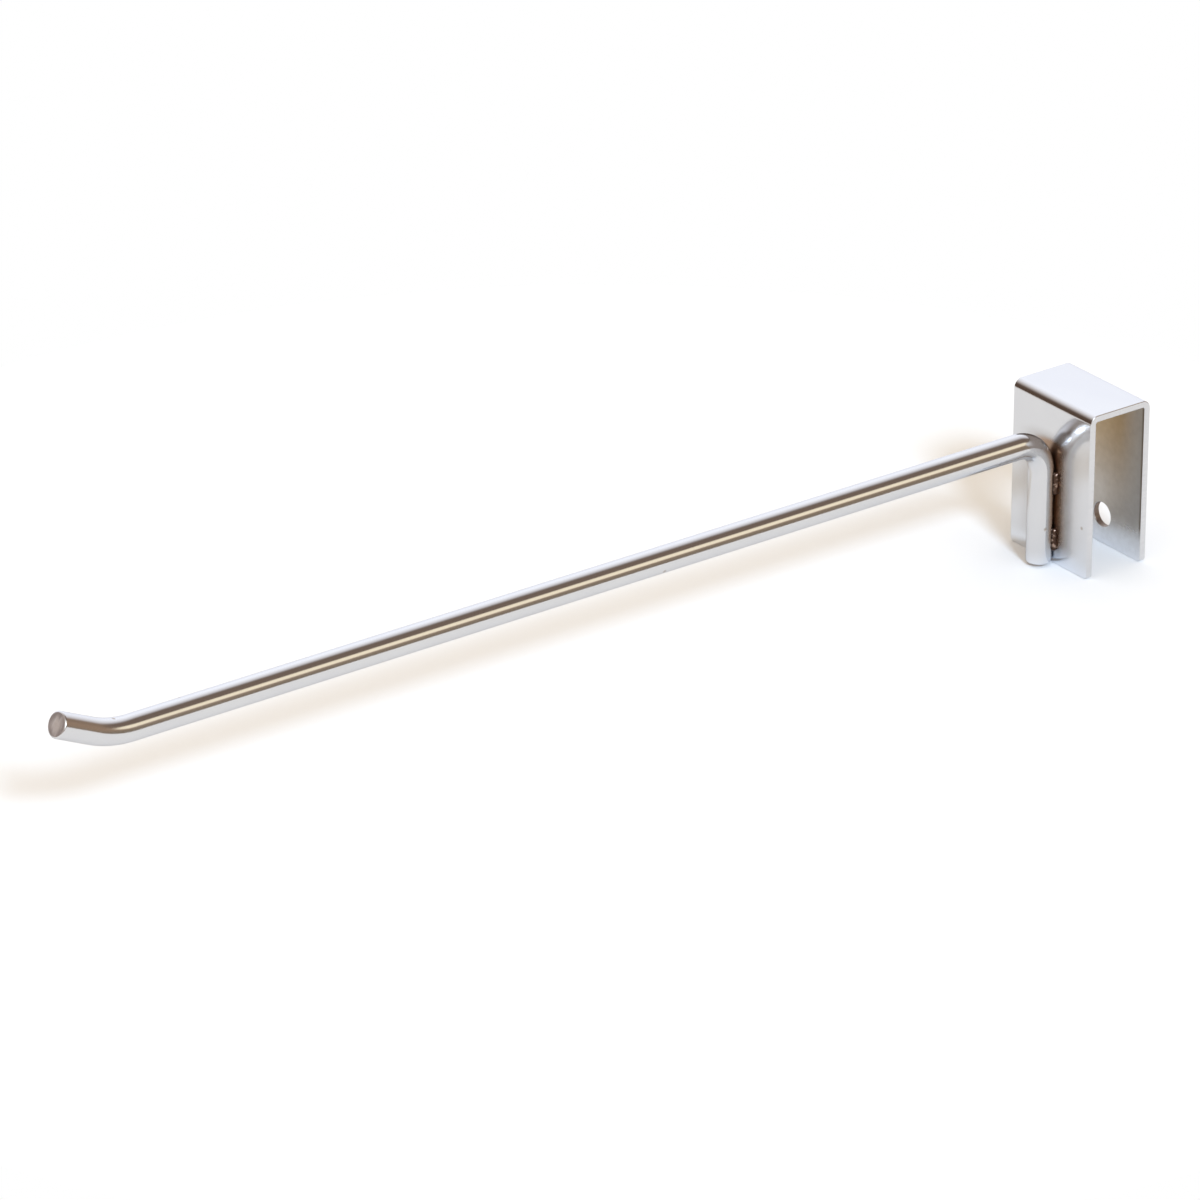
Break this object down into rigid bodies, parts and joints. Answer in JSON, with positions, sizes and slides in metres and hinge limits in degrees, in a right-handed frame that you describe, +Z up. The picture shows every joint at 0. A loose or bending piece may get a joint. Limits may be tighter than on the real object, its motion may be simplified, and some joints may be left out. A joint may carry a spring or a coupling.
{
  "type": "rectangular tube hook",
  "caption": "Chrome-plated display hook: a folded saddle that drops over a rectangular rail tube, with a round rod welded to its front flange that reaches out level and ends in an upturned tip.",
  "frame": {"origin": "middle of the rail seat, on the underside of the saddle's web", "axes": "+X along the rail, across the strip; -Y the way the hook rod reaches; +Z up, away from the rail"},
  "size_m": [0.0254, 0.2674, 0.0377],
  "materials": {
    "chrome_plate": "bright chrome plate on polished steel",
    "plated_weld": "chrome plate over rough weld metal"
  },
  "bodies": {
    "root": {"saddle_bracket": "chrome_plate", "hook_rod": "chrome_plate", "weld_beads": "plated_weld"}
  },
  "joints": []
}
